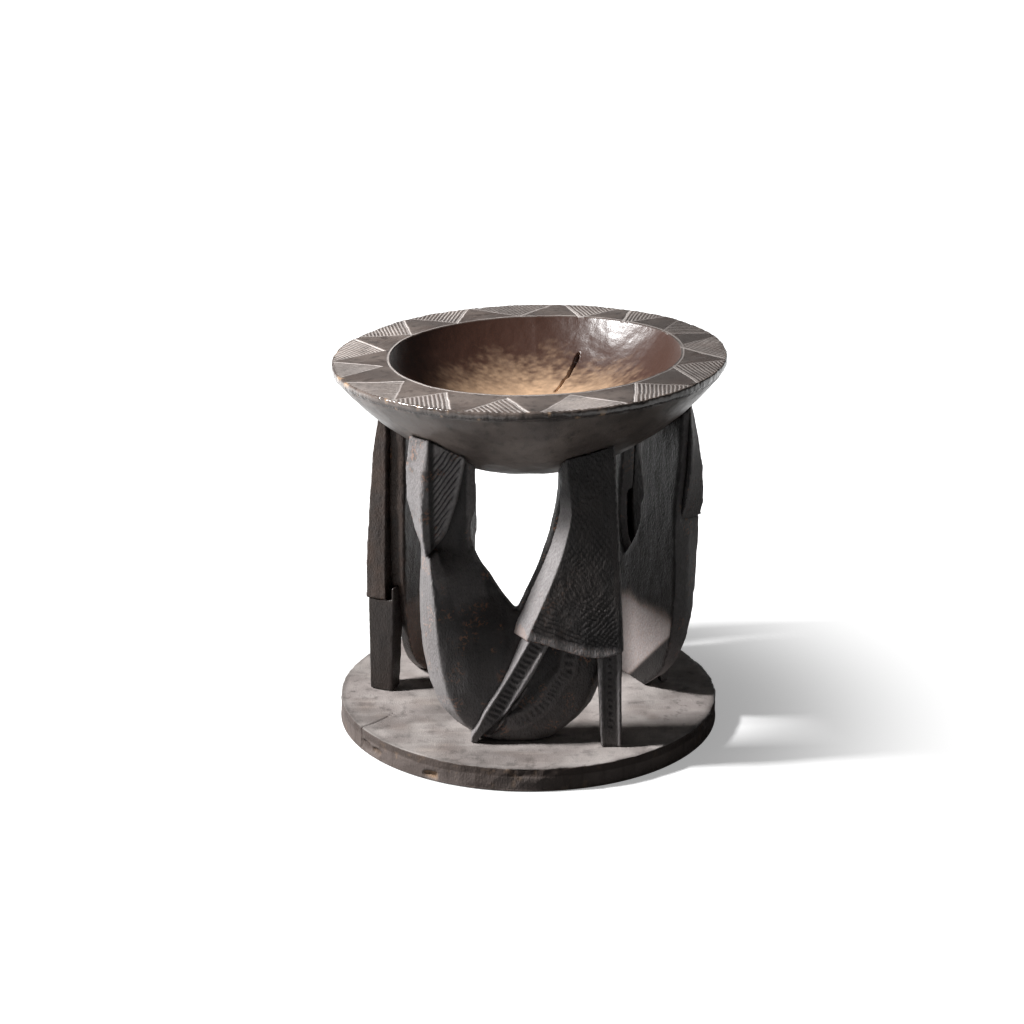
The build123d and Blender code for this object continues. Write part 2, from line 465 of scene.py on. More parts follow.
def mouth_edge(angle):
    """Points of the mouth's edge, in the bowl's own frame."""
    points = polar(round_outline(mouth_outline, angle), angle, 0)
    points[:, :2] += mouth_centre
    return points


def rim_edge_line(angle, inset, height):
    """Points a little inside the rim's outline."""
    return polar(round_outline(rim_outline, angle) - inset, angle, height)


bowl_ring_points = 1440
cone_rings = 70
rim_rings = 88
hollow_rings = 150


def underside_rings():
    """The flat foot of the bowl, and the cone with a slight bulge that rises from it to the rim."""
    plain = bowl_ring_points // 2
    rings = []
    for radius in np.arange(2.0, underside_radius, 1.5):
        count = ring_count(radius, plain_spacing, plain)
        rings.append((count, lambda a, r=radius: polar(r, a, -bowl_height)))
    foot = np.array([underside_radius, -bowl_height])
    along = np.array([rim_radius, -rim_edge]) - foot
    normal = np.array([along[1], -along[0]]) / np.hypot(*along)
    for k in range(cone_rings):
        share = k / cone_rings
        radius, height = foot + along * share + normal * underside_bulge * 4 * share * (1 - share)
        count = ring_count(radius, plain_spacing, plain)
        rings.append((count, lambda a, r=radius, h=height: rim_edge_line(a, rim_radius - r, h)))
    return rings


def edge_rings():
    """The upright edge of the rim, with rounded corners."""
    rings = []
    for turn in np.linspace(-60, 90, 9):
        inset = rim_edge_round * (1 - math.cos(math.radians(turn)))
        middle = -rim_edge_round if turn > 0 else -rim_edge + rim_edge_round
        height = middle + rim_edge_round * math.sin(math.radians(turn))
        rings.append((bowl_ring_points, lambda a, i=inset, h=height: rim_edge_line(a, i, h)))
    return rings


def across_rim(angle, share):
    """Points on the flat of the rim, at a share of the way from its outer edge to the mouth."""
    outer = rim_edge_line(angle, rim_edge_round + 0.3, 0)
    return outer + (mouth_edge(angle) - outer) * share


def inside_hollow(angle, share):
    """Points of the hollow, a part of a sphere, at a share of the way from its middle to the mouth."""
    sphere = (mouth_radius**2 + hollow_depth**2) / (2 * hollow_depth)
    points = mouth_edge(angle)
    points[:, :2] = mouth_centre + (points[:, :2] - mouth_centre) * share
    points[:, 2] = -(math.sqrt(sphere**2 - (mouth_radius * share) ** 2) - (sphere - hollow_depth))
    return points


def bowl_rings():
    """The rings of the bowl, from the middle of its underside round the rim to the middle of the hollow."""
    rings = [(0, 0, -bowl_height), *underside_rings(), *edge_rings()]
    for k in range(rim_rings):
        rings.append((bowl_ring_points, lambda a, s=k / (rim_rings - 1): across_rim(a, s)))
    for k in range(1, hollow_rings):
        share = 1 - k / hollow_rings
        count = ring_count(mouth_radius * share, hollow_spacing, bowl_ring_points)
        rings.append((count, lambda a, s=share: inside_hollow(a, s)))
    rings.append((*mouth_centre, -hollow_depth))
    return rings


def rim_carving(points):
    """How deep each point of the rim's top is cut."""
    x, y = points[:, 0], points[:, 1]
    depth = np.zeros(len(points))
    wobble = 0.24 * smooth_noise(points, 6.0, 31) + 0.08 * smooth_noise(points, 1.6, 32)
    for left, apex, right, strong, pitch in triangles:
        corner_left, corner_right = polar(triangle_top, np.array([left, right], float), 0)[:, :2]
        corner_foot = polar(triangle_foot, np.array([apex], float), 0)[0, :2]
        middle = (corner_left + corner_right + corner_foot) / 3
        near = np.hypot(x - middle[0], y - middle[1]) < triangle_reach
        px, py = x[near], y[near]
        from_left, along_left = line_distance(px, py, corner_foot, corner_left)
        from_right, along_right = line_distance(px, py, corner_right, corner_foot)
        inside = np.clip(np.minimum(from_left, from_right) / 0.5, 0, 1)
        source = from_left if strong == "left" else from_right
        cut = comb(source + wobble[near] - 0.5 * pitch, pitch, hatch_cut[0]) * inside * hatch_cut[1]
        for distance, along, side in ((from_left, along_left, "left"), (from_right, along_right, "right")):
            held = (along > -0.02) & (along < 1.02)
            deep = side_cut[1] * (1.0 if side == strong else weak_side)
            cut = np.maximum(cut, groove(distance + wobble[near], side_cut[0]) * deep * held)
        depth[near] = np.maximum(depth[near], cut)
    return depth


# The crack in the hollow, about the middle of the mouth, from its wide end to its point
hollow_crack = (
    (19.0, 45.5), (17.2, 42.0), (15.6, 39.6), (14.2, 36.4), (12.0, 34.4), (10.2, 31.2), (7.8, 28.0),
)
hollow_crack_width = 2.0
hollow_crack_depth = 3.2


def tilted(points):
    """Points of the bowl's own frame, tilted and lifted to where the rim is."""
    tilt = math.radians(rim_tilt)
    x, y, z = points.T
    right = x * math.cos(tilt) - z * math.sin(tilt)
    up = x * math.sin(tilt) + z * math.cos(tilt) + rim_height
    return np.stack([right, y, up], axis=1)


def make_bowl():
    """The bowl, with its carved rim, tool marks, crack and worn hollow."""
    points, faces = lathe(bowl_rings())
    normals = point_normals(points, faces)
    x, y, z = points.T
    radius = np.hypot(x, y)
    from_mouth = np.hypot(x - mouth_centre[0], y - mouth_centre[1])
    angle = np.degrees(np.arctan2(x - mouth_centre[0], -(y - mouth_centre[1])))
    mouth_here = round_outline(mouth_outline, angle)
    flat = (z > -0.01) & (normals[:, 2] > 0.5) & (from_mouth > mouth_here - 0.2)
    hollow = (from_mouth < mouth_here - 0.2) & (normals[:, 2] > 0.2)
    under = ~flat & ~hollow & (z < -rim_edge)

    carved = np.where(flat, rim_carving(points), 0)
    ring = groove(from_mouth - mouth_here - mouth_ring_middle, mouth_ring[0]) * mouth_ring[1]
    carved = np.maximum(carved, ring * (flat | hollow))
    worn = 0.5 + 0.5 * rough_noise(points, 9.0, 5)
    carved *= 0.45 + 0.55 * worn

    edge = ramp(np.abs(radius - rim_radius + 0.5), 2.2, 0.2) * (z > -rim_edge - 0.3)
    lumps = 0.22 * rough_noise(points, 9.0, 7) - 0.14 * (1 - scoops(points, 7.0, 8)) * hollow
    lumps -= 0.30 * (1 - scoops(points, (9, 9, 5), 9)) * under
    lumps -= 0.35 * edge * np.clip(rough_noise(points, 3.2, 10) + 0.1, 0, 1)
    lumps += 0.05 * rough_noise(points, 1.4, 11, 2)
    band = (z < -0.9) & (z > -rim_edge - 0.2) & (radius > rim_radius - 6)
    lumps += 0.14 * rough_noise(points, 1.1, 18, 2) * np.maximum(edge, band)

    gap, passed = path_distance(x - mouth_centre[0], y - mouth_centre[1], hollow_crack)
    ragged = 1 + 0.3 * smooth_noise(points, 2.0, 12)
    crack_width = hollow_crack_width * (0.25 + 0.75 * np.sqrt(1 - passed)) * ragged
    crack = ramp(gap, crack_width / 2, crack_width / 2 - 0.35) * hollow * (passed < 0.999)
    moved_out = np.clip(lumps - carved, -4, 0.15) - crack * hollow_crack_depth
    moved = points + normals * moved_out[:, None]
    moved[:, 2] = np.minimum(moved[:, 2], 0)

    patches = rough_noise(points, 11.0, 13)
    scratches = rough_noise(points, (9.0, 2.5, 9.0), 17)
    floor_specks = rough_noise(points, (2.2, 1.2, 2.2), 19, 2)
    floor_share = ramp(from_mouth + 6 * patches + 4 * scratches + 6 * floor_specks, 52, 24) * hollow
    # Painted shade on the right of the rim's top, which also holds less dust there
    painted_shade_right = ramp(np.abs(np.degrees(np.arctan2(x, -y)) - 92), 75, 25)
    edge_spots = np.clip(2.5 * rough_noise(points, (4, 4, 3), 15) - 1.1, 0, 0.5)
    worn_floor = floor_share * (0.85 + 0.3 * patches + 0.4 * scratches)
    marks = {
        "dust": np.maximum(carved / 0.4, 0) * (1.0 * flat + 0.4 * ~flat) * (1 - 0.5 * painted_shade_right),
        "wear": 0.12 * edge,
        "bare": worn_floor + np.maximum(edge, band) * edge_spots,
        # Darker in the crack, on the underside more toward its foot and on the edge band, with painted shade
        # on the right of the rim's top
        "grime": crack + 0.25 * under + 0.4 * ramp(z, -30, -42) * under + 0.8 * painted_shade_right * flat + band,
        "stain": hollow * (1 - 0.4 * floor_share) + 0.15 * (smooth_noise(points, 9.0, 14) > 0.3) * flat,
        "polish": edge + band,
    }
    return add_mesh("carved_bowl", tilted(moved), faces, marks, rim_wood, ["bowl"])


# Base. The crack is at angles from the front and distances from the middle. A chip has an angle, a
# height, a size and how much bare wood it shows.
base_edge_round = 1.2
base_ring_points = 1080
base_ring_step = 0.55
base_crack_depth = 1.6
base_chip_depth = 1.3
base_crack = ((-59.5, 85.0), (-60.5, 78.0), (-62.5, 71.0), (-65.0, 64.5))
base_chips = ((-29.4, 2.8, 3.0, 1.0), (-56.8, 3.9, 3.4, 0.0), (-51.3, 3.6, 2.6, 0.2))


def rounded_corner(first_turn, last_turn, middle_height):
    """Rings round a corner of the base, between two angles from level."""
    rings = []
    for turn in np.linspace(first_turn, last_turn, 6):
        radius = base_radius - base_edge_round * (1 - math.cos(math.radians(turn)))
        height = middle_height + base_edge_round * math.sin(math.radians(turn))
        rings.append((base_ring_points, lambda a, r=radius, h=height: polar(r, a, h)))
    return rings


def base_rings():
    """The rings of the base, from the middle of its underside round the edge to the middle of its top."""
    rings = [(0, 0, 0)]
    for radius in (10, 25, 40, 55, 70, 80):
        count = ring_count(radius, plain_spacing, base_ring_points // 2)
        rings.append((count, lambda a, r=radius: polar(r, a, 0)))
    rings += rounded_corner(-90, 0, base_edge_round)
    for height in np.arange(base_edge_round + 0.6, base_top - base_edge_round, 0.6):
        rings.append((base_ring_points, lambda a, h=height: polar(base_radius, a, h)))
    rings += rounded_corner(0, 90, base_top - base_edge_round)
    for radius in np.arange(base_radius - base_edge_round - 0.5, 0.6, -base_ring_step):
        count = ring_count(radius, top_spacing, base_ring_points)
        rings.append((count, lambda a, r=radius: polar(r, a, base_top)))
    rings.append((0, 0, base_top))
    return rings


def make_base():
    """The base, with its uneven top, crack, chips and stains."""
    points, faces = lathe(base_rings())
    normals = point_normals(points, faces)
    x, y, z = points.T
    radius = np.hypot(x, y)
    top = normals[:, 2] > 0.6
    rim = ramp(radius, base_radius - 4, base_radius) * (z > base_top - 4)
    side = (np.abs(normals[:, 2]) < 0.6) & (radius > base_radius - 2)

    lumps = 0.25 * rough_noise(points, 12.0, 41) + 0.06 * rough_noise(points, 2.0, 42)
    lumps -= 0.45 * (1 - scoops(points, (11, 11, 20), 43)) * top
    lumps -= 0.6 * (1 - scoops(points, (9, 9, 7), 44)) * side
    lumps -= 0.6 * rim * np.clip(rough_noise(points, 5.0, 45), 0, 1)
    lumps = np.minimum(lumps - 0.05, 0)

    crack_path = [tuple(polar(distance, np.array([angle]), 0)[0, :2]) for angle, distance in base_crack]
    gap, passed = path_distance(x, y, crack_path)
    crack = ramp(gap, 0.6 * (1 - 0.6 * passed), 0.05) * (z > 1) * (passed < 0.99)
    chips = np.zeros(len(points))
    bare = np.zeros(len(points))
    for angle, height, size, share in base_chips:
        centre = polar(base_radius, np.array([angle]), height)[0]
        away = np.sqrt((((points - centre) / (1.6, 1.6, 0.8)) ** 2).sum(axis=1))
        away += 0.5 * smooth_noise(points, 1.5, 46)
        chip = ramp(away, size, size * 0.4)
        chips = np.maximum(chips, chip)
        bare = np.maximum(bare, chip * share * (0.6 + 0.5 * smooth_noise(points, 1.2, 49)))
    cut = base_crack_depth * crack + base_chip_depth * chips
    moved = points + normals * ((lumps - cut) * (z > 0.5))[:, None]

    scuffs = ramp(smooth_noise(points, (26, 26, 26), 47) + 0.5 * smooth_noise(points, 8.0, 48), -0.3, 0.9)
    streaks = np.clip(rough_noise(points, (14, 3, 14), 50), 0, 1)
    stains = np.clip(rough_noise(points, (18, 14, 18), 53) - 0.1, 0, 1)
    rubbed = np.clip(rough_noise(points, 3.0, 54) - 0.35, 0, 1)
    marks = {
        "dust": (0.70 * scuffs + 0.30 * streaks + 0.12) * top,
        "wear": 0.10 * rim,
        "bare": bare + 0.5 * streaks * stains * top + 0.5 * rubbed * side,
        "stain": 0.7 * stains * top + 0.3 * side,
        "grime": 0.4 * side + crack + chips * (1 - bare) + 0.9 * rim * (radius > base_radius - 2.5),
        "polish": rim,
    }
    return add_mesh("carved_base", moved, faces, marks, base_wood, ["base_disc"])


# Birds


def remeshed(node, voxel, smoothing):
    """The points in millimetres, the edges and the faces of an even, closed mesh over a solid."""
    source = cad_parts[node]
    copy = bpy.data.objects.new("copy", source.data.copy())
    bpy.context.scene.collection.objects.link(copy)
    remesh = copy.modifiers.new("remesh", "REMESH")
    remesh.mode = "VOXEL"
    remesh.voxel_size = voxel * MM
    smooth = copy.modifiers.new("smooth", "SMOOTH")
    smooth.factor = 0.5
    smooth.iterations = smoothing
    done = copy.evaluated_get(bpy.context.evaluated_depsgraph_get())
    mesh = bpy.data.meshes.new_from_object(done)
    points = np.empty(len(mesh.vertices) * 3)
    mesh.vertices.foreach_get("co", points)
    edges = np.empty(len(mesh.edges) * 2, int)
    mesh.edges.foreach_get("vertices", edges)
    faces = [tuple(polygon.vertices) for polygon in mesh.polygons]
    bpy.data.objects.remove(copy)
    bpy.data.meshes.remove(mesh)
    return points.reshape(-1, 3) / MM, edges.reshape(-1, 2), faces


def to_bird(points, angle, place):
    """Points in a bird's own frame: u along it toward the tail, v outward, z up."""
    turn = math.radians(angle)
    x, y = points[:, 0] - place[0], points[:, 1] - place[1]
    u = x * math.cos(turn) + y * math.sin(turn)
    v = x * math.sin(turn) - y * math.cos(turn)
    return np.stack([u, v, points[:, 2]], axis=1)


def from_bird(points, angle, place):
    """Points of a bird's own frame, back in the object's."""
    turn = math.radians(angle)
    u, v, z = points.T
    x = u * math.cos(turn) + v * math.sin(turn) + place[0]
    y = u * math.sin(turn) - v * math.cos(turn) + place[1]
    return np.stack([x, y, z], axis=1)


def relaxed(values, edges, weight, rounds):
    """Values at the points of a mesh, evened out along its edges where the weight is above 0."""
    one, other = edges.T
    count = len(values)
    neighbours = np.bincount(edges.ravel(), minlength=count)
    for _ in range(rounds):
        total = np.bincount(one, values[other], count) + np.bincount(other, values[one], count)
        values = values + (total / neighbours - values) * weight
    return values


# Head. The ridge and the right edge of its face, as heights and places along the bird. Rows of cuts here
# and below have a pitch and a width.
head_ridge = ((96, -41.0), (118, -41.5), (164, -41.5))
head_edge = ((96, -39.0), (106, -34.0), (118.5, -30.0), (132, -27.0), (164, -21.5))
head_step = 2.6
head_border = 1.7
head_panel_depth = 0.85
head_hatching = (1.9, 1.2)
head_hatching_depth = 0.45


def carve_head(points, normals):
    """The head has a smooth facet, and beside it a sunk panel with slanted hatching."""
    u, z = points[:, 0], points[:, 2]
    outward = normals[:, 1]
    ridge = np.interp(z, *zip(*head_ridge))
    edge = np.interp(z, *zip(*head_edge))
    face = (outward > 0.25) & (u > ridge - 0.4)
    sunk = ramp(u, ridge + 0.2, ridge + head_step) * ramp(u, edge - 0.2, edge - head_border) * face
    slanted = 0.62 * z - 0.78 * u + 0.5 * smooth_noise(points, 5.0, 61)
    below_bowl = ramp(z - 0.7 * (u + 30), 147, 143)
    hatch = comb(slanted, *head_hatching) * sunk * ramp(u, ridge + 1.2, ridge + 2.8) * below_bowl
    depth = head_panel_depth * sunk + head_hatching_depth * hatch
    smooth_side = ramp(u, ridge + 0.5, ridge - 0.5) * (outward > -0.2)
    spots = np.clip(3 * rough_noise(points, 6.0, 62) - 0.3, 0, 0.9)
    # Painted highlight on the crests of the sunk panel between the hatching
    painted_panel_highlight = 1.3 * (1 - hatch) * sunk * ramp(u, ridge + 1.5, ridge + 4)
    # The face is made lighter along its right edge
    lighter_border = 0.4 * face * ramp(u, edge - 2.5, edge - 1.0)
    marks = {
        "wear": 0.20 * sunk + 0.22 * smooth_side + 0.1,
        "rust": spots * np.maximum(sunk, smooth_side),
        # The smooth facet is paled as painted light
        "dust": (1 - 0.6 * spots) * (painted_panel_highlight + 0.66 * smooth_side + lighter_border),
        # Painted shade: a dark band beside the ridge where its step is shaded, and in the cuts of the
        # hatching
        "grime": 0.9 * ramp(np.abs(u - ridge - 1.4), 1.6, 0.4) * face + 0.8 * hatch,
    }
    return depth, marks


# Wing. Its hem, as places along the bird and heights, and its lines
wing_hem = ((-4, 63.5), (10, 59.0), (26, 55.0), (38, 54.0))
fan_lines = (2.5, 0.9)
rising_lines = (1.9, 0.95)
falling_lines = (2.1, 0.95)
corner_lines = (2.1, 1.0)
wing_line_depth = 0.42
wing_blade_depth = 0.30


def carve_wing(points, normals):
    """The wing has a fan of lines above its hem, crossed lines further up and a smooth bevel."""
    u, z = points[:, 0], points[:, 2]
    tailward, outward, upward = normals.T
    face = ramp(outward, 0.75, 0.92)
    inner = ramp(u, -0.2, 2.0) * ramp(u + 0.07 * (z - 52), 39.0, 37.2) * face
    low = ramp(z, 92, 70)
    above = z - np.interp(u, *zip(*wing_hem))
    wobble = 1.3 * smooth_noise(points, 7.0, 71) + 0.5 * smooth_noise(points, 2.4, 75)
    faded = 0.25 + 0.75 * ramp(smooth_noise(points, (9, 9, 6), 76), -0.6, 0.3)
    patchy = 0.55 + 0.45 * smooth_noise(points, (5, 5, 7), 72)
    fan = comb(z + (0.42 + 0.012 * above) * u + wobble, *fan_lines)
    rising = comb(0.80 * u + 0.60 * z + wobble, *rising_lines) * ramp(z, 60, 78) * patchy
    falling = comb(0.85 * u - 0.52 * z - wobble, *falling_lines) * ramp(z, 80, 100) * patchy
    corner = comb(0.72 * u - 0.70 * z + wobble, *corner_lines) * ramp(u, 18, 26)
    fan = fan * low * ramp(above, 1.0, 3.0) * faded
    corner = corner * low * ramp(above, 1.5, 3.5)
    hatch = np.maximum.reduce([fan, 0.75 * rising, 0.75 * falling, 0.7 * corner])
    depth = wing_line_depth * hatch * inner + wing_blade_depth * (1 - scoops(points, (5, 5, 8), 73))
    depth += 0.12 * rough_noise(points, 1.6, 77, 2) * inner
    tail_edge = ramp(tailward, 0.15, 0.5) * ramp(outward, 0.1, 0.5)
    bevel = ramp(tailward, -0.3, -0.6) * ramp(outward, 0.1, 0.4) * ramp(z, 124, 110)
    low_corner = ramp(np.hypot(u + 3.5, z - 62), 5.5, 1.5)
    spots = np.clip(rough_noise(points, 7.0, 74), 0, 1)
    face_wear = (0.08 + 0.35 * spots * ramp(u, 22, 0)) * face
    # Painted highlight on the crests between the lines
    painted_crest_highlight = 0.06 * (1 - hatch) * inner * low
    marks = {
        "wear": face_wear + 0.75 * low_corner + 0.2 * ramp(above, 0.5, -2.5),
        # Painted light on the bevel and on the edge toward the tail; lighter along and below the hem
        "dust": painted_crest_highlight + 0.88 * bevel + 0.6 * ramp(above, 3, -1) * face + tail_edge,
        "rust": 0.35 * spots * face * ramp(u, 26, 6) + 0.6 * ramp(above, 3, -3) + 0.5 * bevel * spots,
        # Painted shade in the cuts of the lines, and on the upper face as painted shadow of the bowl
        "grime": 0.7 * hatch * inner + 0.35 * face * ramp(z, 78, 100),
        "stain": 0.6 * ramp(upward, -0.2, -0.6),
        "polish": 0.5 * bevel,
    }
    return depth, marks


# Legs. The middle of the fore leg's face is given as places along the bird and heights, and the back
# leg's as heights and places. The fore leg's strokes are counted along it, by the sine of its slope.
fore_leg_line = ((-22.0, 11.0), (-3.0, 45.0), (5.1, 60.0), (13.0, 77.0))
fore_leg_slope = 0.5
fore_leg_strokes = (2.6, 1.5)
hind_leg_line = ((11, 35.4), (77, 33.9))
hind_leg_dots = (3.1, 1.5)
punched_depth = 0.65
panel_depth = 0.7


def carve_fore_leg(points, normals):
    """The fore leg has a row of short punched strokes along the sunk middle of its face."""
    z = points[:, 2]
    across = path_distance(points[:, 0], z, fore_leg_line)[0]
    along = points @ (fore_leg_slope, 0, math.sqrt(1 - fore_leg_slope**2))
    face = ramp(normals[:, 1], 0.6, 0.85)
    pitch, width = fore_leg_strokes
    stroke = comb(along - pitch / 2 + 0.3 * pitch * smooth_noise(points, 4.0, 81), pitch, width)
    strokes = stroke * ramp(across + 0.8 * smooth_noise(points, 2.6, 84), 2.7, 1.7) * ramp(z, 20, 25) * face
    rail = ramp(across, 2.7, 3.5)
    depth = punched_depth * strokes + panel_depth * (1 - rail) * face * ramp(z, 18, 26)
    depth += 0.15 * (1 - scoops(points, (4, 4, 7), 82))
    marks = {
        "wear": 0.10 + 0.15 * rail * face,
        # Lighter rails and face, and painted light on the side toward the head
        "dust": 0.40 * rail * face + 0.22 * face + 0.75 * ramp(normals[:, 0], -0.1, -0.5),
        # Painted shade in the strokes and the sunk channel
        "grime": 0.8 * strokes + 0.3 * (1 - rail) * face,
        "polish": 0.4 * rail,
    }
    return depth, marks


def carve_hind_leg(points, normals):
    """The back leg has a row of punched dots down the sunk middle of its face."""
    z = points[:, 2]
    across = points[:, 0] - np.interp(z, *zip(*hind_leg_line))
    face = ramp(normals[:, 1], 0.6, 0.85)
    pitch, width = hind_leg_dots
    dots = comb(z - pitch / 2, pitch, width) * groove(across, 2.0) * face * ramp(z, 16, 20)
    rail = ramp(np.abs(across), 2.6, 3.4)
    depth = punched_depth * dots + panel_depth * (1 - rail) * face
    depth += 0.1 * (1 - scoops(points, (4, 4, 9), 83))
    marks = {
        "wear": 0.08 + 0.12 * rail * face,
        "dust": 0.34 * rail * face + 0.20 * face,
        # Painted shade in the dots
        "grime": 0.8 * dots,
        "polish": 0.4 * rail,
    }
    return depth, marks


# Body. The plume between the legs is a raised band along a path of places along the bird and heights.
plume_path = (
    (18.0, 52.0), (17.2, 43.0), (14.0, 38.7), (11.0, 34.5),
    (8.7, 30.3), (4.8, 26.1), (-0.6, 22.7), (-5.5, 20.6),
)
plume_length = 41.0
plume_half = 4.0
plume_height = 0.5
plume_valley = 2.0
plume_strokes = (2.4, 1.5)
plume_stroke_depth = 1.3
breast_lines = (1.3, 0.7)
breast_line_depth = 0.10
body_blade_depth = 0.30


def carve_body(points, normals):
    """The body has blade marks, fine lines on the breast, and the plume with a valley beside it."""
    u, z = points[:, 0], points[:, 2]
    tailward, outward = normals[:, 0], normals[:, 1]
    outside = ramp(outward, 0.0, 0.4)
    inside = ramp(outward, -0.3, -0.8)
    depth = body_blade_depth * (1 - scoops(points, (6, 6, 13), 91)) * (0.45 + 0.55 * inside)
    lines = comb(u + 0.8 * smooth_noise(points, 9.0, 92), *breast_lines) * outside * (u < -22)
    depth += breast_line_depth * lines * (0.5 + 0.5 * smooth_noise(points, (6, 6, 18), 93))

    belly = ramp(outward, 0.1, 0.4) * (z < 60)
    away, passed = path_distance(u, z, plume_path)
    band = ramp(away, plume_half + 0.6, plume_half - 0.6) * belly
    pitch, width = plume_strokes
    stroke = comb(passed * plume_length - pitch / 2, pitch, width)
    strokes = stroke * ramp(away, 2.0, 1.4) * belly * (0.6 + 0.4 * smooth_noise(points, 3.0, 95))
    inner_side = ramp((u + 8) * 0.75 + (44 - z) * 0.66, 17, 13)
    valley = ramp(away, plume_half - 0.5, plume_half + 1.5) * ramp(away, 16, 11) * inner_side * belly
    depth += plume_stroke_depth * strokes - plume_height * band + plume_valley * valley

    # A pool of painted light low on the inner face, bounded above by a painted shadow edge
    patch_edge = 22 - 0.936 * (u + 22)
    painted_light_patch = inside * ramp(z + 2 * smooth_noise(points, 5.0, 96), 54, 46) * ramp(z - patch_edge, -1.5, 1.5)
    gap_side = ramp(tailward, 0.35, 0.7) * ramp(z, 62, 72) * (u < 0)
    head_side = ramp(tailward, -0.25, -0.6) * ramp(outward, -0.3, 0.1) * (u < 0)
    spots = np.clip(3 * rough_noise(points, 6.0, 97) - 0.5, 0, 0.9)
    # Lighter toward the breast, toward the bottom and on the plume's band
    dust = (0.02 + 0.10 * ramp(u + 5 * smooth_noise(points, 9.0, 98), -20, -36)) * outside
    dust += 0.22 * ramp(z, 60, 36) * outside + 0.12 * band
    # Painted light on the side toward the head and on the patch; the side facing the gap is made lighter too
    dust += 0.48 * head_side + 0.8 * painted_light_patch + 0.7 * gap_side
    marks = {
        "wear": 0.10 + 0.10 * smooth_noise(points, 14.0, 94),
        "dust": dust,
        # The bare wood colour here is painted light on the patch
        "bare": 0.3 * painted_light_patch,
        # Reddish flecks, and the patch's warm painted light
        "rust": spots * (0.7 * outside + 0.9 * head_side) + 0.5 * painted_light_patch,
        # Painted shade on the inner faces outside the patch, in the plume's strokes and valley, and on the
        # upper outside under the head
        "grime": strokes + 0.7 * valley + inside * (1 - painted_light_patch) + 0.8 * outside * ramp(z, 92, 106),
        "polish": 0.3 * outside,
    }
    return depth, marks


def bird_normals(local, faces):
    """Normals in a bird's own frame, which is left-handed."""
    return -point_normals(local, faces)


# The slope under the head, and how far the right bird's neck comes into its window
slope_from, slope_to = 78.0, 112.0
neck_shift = 5.0


def shape_body(local, edges, faces, bird):
    """Evens out the slope from the breast to the neck, and widens the right bird's neck at the window."""
    u, v, z = local.T
    outer = ramp(bird_normals(local, faces)[:, 1], -0.3, 0.2)
    slope = outer * ramp(z, slope_from, slope_from + 8) * ramp(z, slope_to, slope_to - 8)
    slope *= ramp(u, -8, -14) * ramp(u, -38, -32)
    v = relaxed(v, edges, slope, 220)
    window_side = ramp(z, 84, 90) * ramp(z, 112, 104) * ramp(u, -30, -25) * ramp(u, -8, -14)
    u = relaxed(u, edges, window_side, 60)
    if bird == "right":
        u = u + neck_shift * ramp(u, -29, -21) * ramp(u, -8, -14) * ramp(z, 84, 98)
    return np.stack([u, v, z], axis=1)


# How far the front edge of the head is moved out, at some heights, and how much its beak narrows
head_swell = ((90, 1.5), (106, 2.4), (118, 3.0), (132, 2.6), (146, 0.0))
beak_length = 9
beak_taper = 2.0
right_beak_taper = 0.6


def shape_head(local, bird):
    """Moves the front edge of the head out, and narrows the beak toward its end."""
    u, v, z = local.T
    u = u - np.interp(z, *zip(*head_swell)) * ramp(u, -36, -42)
    taper = right_beak_taper if bird == "right" else beak_taper
    v = v - taper * ramp(z, beak_height + beak_length, beak_height)
    return np.stack([u, v, z], axis=1)


# How much the fore leg narrows toward its foot, stands further forward there and has its toe rounded
foot_taper = 2.2
foot_shift = 2.6
foot_round = 0.45
hind_leg_thicker = 3.0


def shape_fore_leg(local):
    """Narrows the fore leg toward its foot, moves the foot forward and rounds the toe."""
    u, v, z = local.T
    u = u - foot_taper * ramp(z, 40, 12) * ramp(u, -19, -14)
    u = u - foot_shift * np.clip((45 - z) / 34, 0, 1)
    shaped = np.stack([u, v, z], axis=1)
    to_middle = shaped[z < 14, :2].mean(axis=0) - shaped[:, :2]
    shaped[:, :2] += to_middle * (foot_round * ramp(z, 17, base_top))[:, None]
    return shaped


def shape_hind_leg(local):
    """Makes the back leg thicker on its inner side."""
    u, v, z = local.T
    v = v - hind_leg_thicker * ramp(v, v.max() - 2, v.min() + 1)
    return np.stack([u, v, z], axis=1)


def shape_piece(name, bird, local, edges, faces):
    """A bird's piece with the scene's own small changes of shape. The wing has none."""
    if name == "body":
        return shape_body(local, edges, faces, bird)
    if name == "head":
        return shape_head(local, bird)
    if name == "fore_leg":
        return shape_fore_leg(local)
    if name == "hind_leg":
        return shape_hind_leg(local)
    return local


# The pieces of a bird: name, size of the mesh's cells, rounds of smoothing, and what is carved in it
bird_pieces = (
    ("body", 0.7, 15, carve_body),
    ("head", 0.45, 9, carve_head),
    ("wing", 0.45, 4, carve_wing),
    ("fore_leg", 0.45, 3, carve_fore_leg),
    ("hind_leg", 0.45, 3, carve_hind_leg),
)
swell = 0.35
# How much of the dust and painted light the left bird keeps
left_dust_and_light = 0.45
sunk_in_base = 1.0


def darken_left(name, points, marks):
    """The left bird is browner than the others, with less pale dusting and painted light, and its back leg is
    darkened with painted shade.
    """
    hind_leg = name == "hind_leg"
    marks["stain"] = (0.5 + 0.4 * rough_noise(points, 6.0, 55)) * (0.4 if hind_leg else 1)
    # Painted shade on the back leg
    marks["grime"] = marks["grime"] + 0.9 * hind_leg
    marks["dust"] = marks["dust"] * left_dust_and_light * (not hind_leg)


